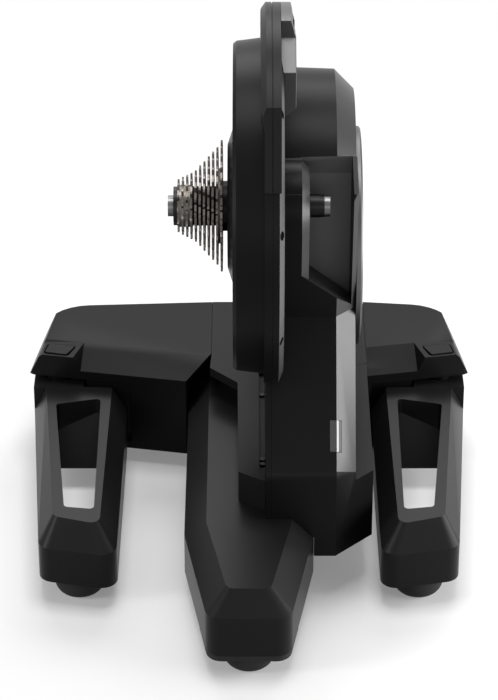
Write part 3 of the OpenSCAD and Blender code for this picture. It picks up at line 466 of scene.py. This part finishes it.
def button_spring(side):
    """A button's spring, copied onto the spring's body with a mesh of its own."""
    node = side + "_button_spring"
    coil = placed(node + "_coil", frame["nodes"][node].data.copy())
    on_body(coil, node)
    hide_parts(node)
    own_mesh(coil)


def in_recess(face):
    """Whether a face is on the recess's back wall, or below the axle on a ledge or in the boss's hole: the
    faces that get the painted light grey.
    """
    middle = face.center
    inside = middle.x < RECESS_TOP.x and RECESS_LOW.z < middle.z < RECESS_TOP.z
    wall = face.normal.y < FACES_FRONT and abs(middle.y - RECESS_BACK.y) < WALL_DEPTH
    ledge = face.normal.z > FACES_UP and middle.z < AXLE.z and abs(middle.y) < RECESS_BACK.y
    return inside and (wall or ledge)


def housing_finish(face):
    """The finish of a housing face: a light grey in the recess as painted light, and above the crease where
    it leans right a lighter, glossier copy of the black as a painted highlight.
    """
    if in_recess(face):
        return recess_painted_light
    if face.normal.x > LEANS_RIGHT and face.center.z > CREASE_Z:
        return painted_highlight_black
    return shell_black


def plate_finish(face):
    """The finish of a face of the seam plate: on its right chamfer, a lighter and glossier copy of the black
    as a painted highlight.
    """
    return painted_highlight_black if LEANS_RIGHT < face.normal.x < FLAT_RIGHT else shell_black


def refinish(piece, pick):
    """Gives each face of a piece the finish that pick names."""
    finishes = piece.data.materials
    for face in piece.data.polygons:
        finish = pick(face)
        if finish.name not in finishes:
            finishes.append(finish)
        face.material_index = finishes.find(finish.name)


seam_filler()
for side in ("left", "right"):
    button_spring(side)

# The nodes of each rounded piece, and how wide its edges are rounded
ROUNDED = [
    (["centre_leg"], 0.0022),
    (["left_leg"], 0.0022),
    (["right_leg"], 0.0022),
    (["left_wing_cover"], 0.0012),
    (["right_wing_cover"], 0.0012),
    (["deck_cover"], 0.0008),
    (["drive_side_cover"], 0.0008),
    (["seam_plate"], 0.0006),
    (["flywheel_side_cover", "boss_cover", "drum_cover"], 0.0009),
    (["handle_arch"], 0.0006),
    (["handle_grip"], 0.0006),
    (["status_light"], 0.0006),
    (["left_button"], 0.0008),
    (["right_button"], 0.0008),
]
FINISH_BY_FACE = {
    "seam_plate": plate_finish,
    "flywheel_side_cover": housing_finish,
}
for nodes, width in ROUNDED:
    piece = rounded_edges(nodes, width)
    if nodes[0] in FINISH_BY_FACE:
        refinish(piece, FINISH_BY_FACE[nodes[0]])


# Floor, lamps and camera


def floor_paint():
    """Pale floor that shows white to the camera and keeps the object's shadow."""
    paint = Paint("pale_floor")
    shown = paint.shown()
    dark, light = FLOOR_PALE
    pale = paint.between(paint.noise(size=0.2, detail=2), grey(dark), grey(light))
    dim = paint.node("ShaderNodeBsdfDiffuse", {}, {"Color": grey(FLOOR_BOUNCE)})
    matt = paint.node("ShaderNodeBsdfDiffuse", {}, {"Color": pale})
    glow = paint.node("ShaderNodeEmission", {}, {"Color": grey(1.0), "Strength": FLOOR_GLOW})
    lit = paint.node("ShaderNodeAddShader", {}, {0: matt, 1: glow})
    white = paint.node("ShaderNodeEmission", {}, {"Color": grey(1.0)})
    x, y = paint.axes("XY")
    radius = (x * x + y * y) ** 0.5
    fade = paint.node("ShaderNodeMapRange", {}, {0: radius, 1: FADE_FROM, 2: FADE_TO})
    return paint.output(paint.mixed(fade * shown, paint.mixed(shown, dim, lit), white))


def floor():
    mesh = bpy.data.meshes.new("floor")
    corners = [(x * FLOOR_HALF, y * FLOOR_HALF, 0) for x, y in ((-1, -1), (1, -1), (1, 1), (-1, 1))]
    mesh.from_pydata(corners, [], [(0, 1, 2, 3)])
    mesh.materials.append(floor_paint())
    placed("floor", mesh)


def world():
    """White to the camera and in reflections, dim for the object's fill light."""
    paint = Paint("studio", bpy.data.worlds, "ShaderNodeOutputWorld")
    dim = paint.node("ShaderNodeBackground", {}, {"Color": grey(1.0), "Strength": FILL})
    white = paint.node("ShaderNodeBackground", {}, {"Color": grey(1.0)})
    bpy.context.scene.world = paint.output(paint.mixed(paint.shown(), dim, white))


def turned_to(start, aim):
    """The rotation of a lamp or camera at start that looks at aim."""
    return (Vector(aim) - Vector(start)).to_track_quat("-Z", "Y").to_euler()


def lamp(name, place, aim, width, height, radiance):
    """A soft rectangular lamp whose face shines at a given radiance."""
    light = bpy.data.lights.new(name, "AREA")
    light.shape = "RECTANGLE"
    light.size = width
    light.size_y = height
    light.energy = radiance * math.pi * width * height
    thing = placed(name, light)
    thing.location = place
    thing.rotation_euler = turned_to(place, aim)
    thing.visible_camera = False


floor()
world()
lamp("overhead", place=(0, 0.20, 2.3), aim=(0, 0.1, 0.2), width=1.0, height=0.9, radiance=10.5)
lamp("behind", place=(0.1, 1.7, 1.85), aim=(0, 0, 0.3), width=2.4, height=1.0, radiance=5.2)
lamp("right_side", place=(1.15, -0.14, 0.30), aim=(0.1, 0, 0.2), width=1.1, height=0.54, radiance=10)
lamp("left_side", place=(-1.5, -0.6, 0.75), aim=(-0.1, -0.1, 0.15), width=0.4, height=0.8, radiance=11)
lamp("front", place=(0.2, -2.6, 1.0), aim=(0, 0, 0.3), width=1.6, height=1.0, radiance=1.5)

lens_data = bpy.data.cameras.new("camera")
lens_data.lens = LENS_MM
lens_data.sensor_width = SENSOR_MM
lens_data.clip_end = FAR_CLIP
camera = placed("camera", lens_data)
camera.location = CAMERA_AT
camera.rotation_euler = turned_to(CAMERA_AT, CAMERA_AIM)
bpy.context.scene.camera = camera
bpy.context.scene.view_settings.view_transform = "Standard"
